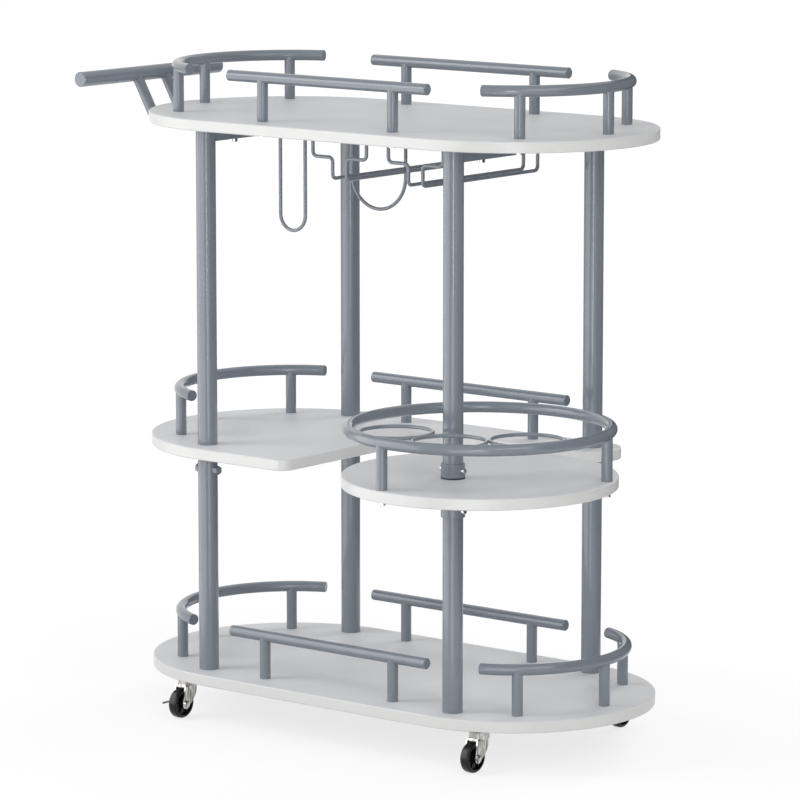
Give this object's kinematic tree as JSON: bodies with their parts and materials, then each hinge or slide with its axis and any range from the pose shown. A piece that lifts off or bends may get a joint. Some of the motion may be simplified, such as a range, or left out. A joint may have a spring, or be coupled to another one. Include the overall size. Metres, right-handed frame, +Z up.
{
  "type": "bar cart",
  "caption": "Wheeled bar cart: white boards on round posts with guard rails, push handle, hanging stemware wires, bottle loops and a swivelling round tray with bottle rings.",
  "frame": {"origin": "on the floor, in the middle between the four posts and the four casters", "axes": "+Z up, +X along the boards away from the push handle, +Y to the back, the tray's post at the front right"},
  "size_m": [0.7953, 0.448, 0.8319],
  "materials": {
    "white_board": "satin white laminate",
    "slate_paint": "satin powder coat",
    "zinc_steel": "bright zinc plate",
    "nickel_bolt": "nickel plate",
    "black_wheel": "matte black",
    "dark_washer": "matte"
  },
  "bodies": {
    "frame": {"top_board": "white_board", "middle_shelf": "white_board", "bottom_board": "white_board", "post_front_left": "slate_paint", "post_back_left": "slate_paint", "post_front_right": "slate_paint", "post_back_right": "slate_paint", "crossbar_left": "slate_paint", "crossbar_right": "slate_paint", "top_rail_front": "slate_paint", "top_rail_back": "slate_paint", "shelf_rail_back": "slate_paint", "bottom_rail_front": "slate_paint", "bottom_rail_back": "slate_paint", "top_rail_left": "slate_paint", "top_rail_right": "slate_paint", "shelf_rail_left": "slate_paint", "bottom_rail_left": "slate_paint", "bottom_rail_right": "slate_paint", "glass_wire_a": "slate_paint", "glass_wire_b": "slate_paint", "glass_wire_c": "slate_paint", "glass_wire_d": "slate_paint", "bottle_loop_neck": "slate_paint", "bottle_loop_body": "slate_paint", "push_handle": "slate_paint", "shelf_flanges": "slate_paint", "post_bolts": "slate_paint", "crossbar_bolts": "nickel_bolt", "handle_bolts": "nickel_bolt", "stop_collar_upper": "slate_paint", "stop_collar_lower": "slate_paint", "collar_washer": "dark_washer", "collar_screws": "nickel_bolt", "caster_stem_front_left": "zinc_steel", "caster_stem_back_left": "zinc_steel", "caster_stem_front_right": "zinc_steel", "caster_stem_back_right": "zinc_steel"},
    "tray": {"tray_board": "white_board", "tray_hub": "slate_paint", "tray_ring": "slate_paint", "bottle_rings": "slate_paint"},
    "fork_front_left": {"caster_fork_front_left": "zinc_steel", "caster_axle_front_left": "zinc_steel"},
    "fork_back_left": {"caster_fork_back_left": "zinc_steel", "caster_axle_back_left": "zinc_steel"},
    "fork_front_right": {"caster_fork_front_right": "zinc_steel", "caster_axle_front_right": "zinc_steel"},
    "fork_back_right": {"caster_fork_back_right": "zinc_steel", "caster_axle_back_right": "zinc_steel"},
    "wheel_front_left": {"caster_wheel_front_left": "black_wheel"},
    "wheel_back_left": {"caster_wheel_back_left": "black_wheel"},
    "wheel_front_right": {"caster_wheel_front_right": "black_wheel"},
    "wheel_back_right": {"caster_wheel_back_right": "black_wheel"},
    "brake_front_left": {"brake_lever_front_left": "zinc_steel"},
    "brake_back_left": {"brake_lever_back_left": "zinc_steel"}
  },
  "joints": [
    {"name": "tray_swivel", "type": "hinge", "parent": "frame", "child": "tray", "pos_m": [0.1952, -0.1423, 0.3562], "axis": [0, 0, 1], "continuous": true},
    {"name": "caster_swivel_front_left", "type": "hinge", "parent": "frame", "child": "fork_front_left", "pos_m": [-0.234, -0.139, 0.048], "axis": [0, 0, 1], "continuous": true},
    {"name": "wheel_spin_front_left", "type": "hinge", "parent": "fork_front_left", "child": "wheel_front_left", "pos_m": [-0.234, -0.1525, 0.019], "axis": [1, 0, 0], "continuous": true},
    {"name": "caster_swivel_back_left", "type": "hinge", "parent": "frame", "child": "fork_back_left", "pos_m": [-0.234, 0.139, 0.048], "axis": [0, 0, 1], "continuous": true},
    {"name": "wheel_spin_back_left", "type": "hinge", "parent": "fork_back_left", "child": "wheel_back_left", "pos_m": [-0.234, 0.1525, 0.019], "axis": [1, 0, 0], "continuous": true},
    {"name": "caster_swivel_front_right", "type": "hinge", "parent": "frame", "child": "fork_front_right", "pos_m": [0.234, -0.139, 0.048], "axis": [0, 0, 1], "continuous": true},
    {"name": "wheel_spin_front_right", "type": "hinge", "parent": "fork_front_right", "child": "wheel_front_right", "pos_m": [0.234, -0.1525, 0.019], "axis": [1, 0, 0], "continuous": true},
    {"name": "caster_swivel_back_right", "type": "hinge", "parent": "frame", "child": "fork_back_right", "pos_m": [0.234, 0.139, 0.048], "axis": [0, 0, 1], "continuous": true},
    {"name": "wheel_spin_back_right", "type": "hinge", "parent": "fork_back_right", "child": "wheel_back_right", "pos_m": [0.234, 0.1525, 0.019], "axis": [1, 0, 0], "continuous": true},
    {"name": "brake_tilt_front_left", "type": "hinge", "parent": "fork_front_left", "child": "brake_front_left", "pos_m": [-0.234, -0.1525, 0.019], "axis": [1, 0, 0], "range_deg": [0, 22]},
    {"name": "brake_tilt_back_left", "type": "hinge", "parent": "fork_back_left", "child": "brake_back_left", "pos_m": [-0.234, 0.1525, 0.019], "axis": [-1, 0, 0], "range_deg": [0, 22]}
  ]
}
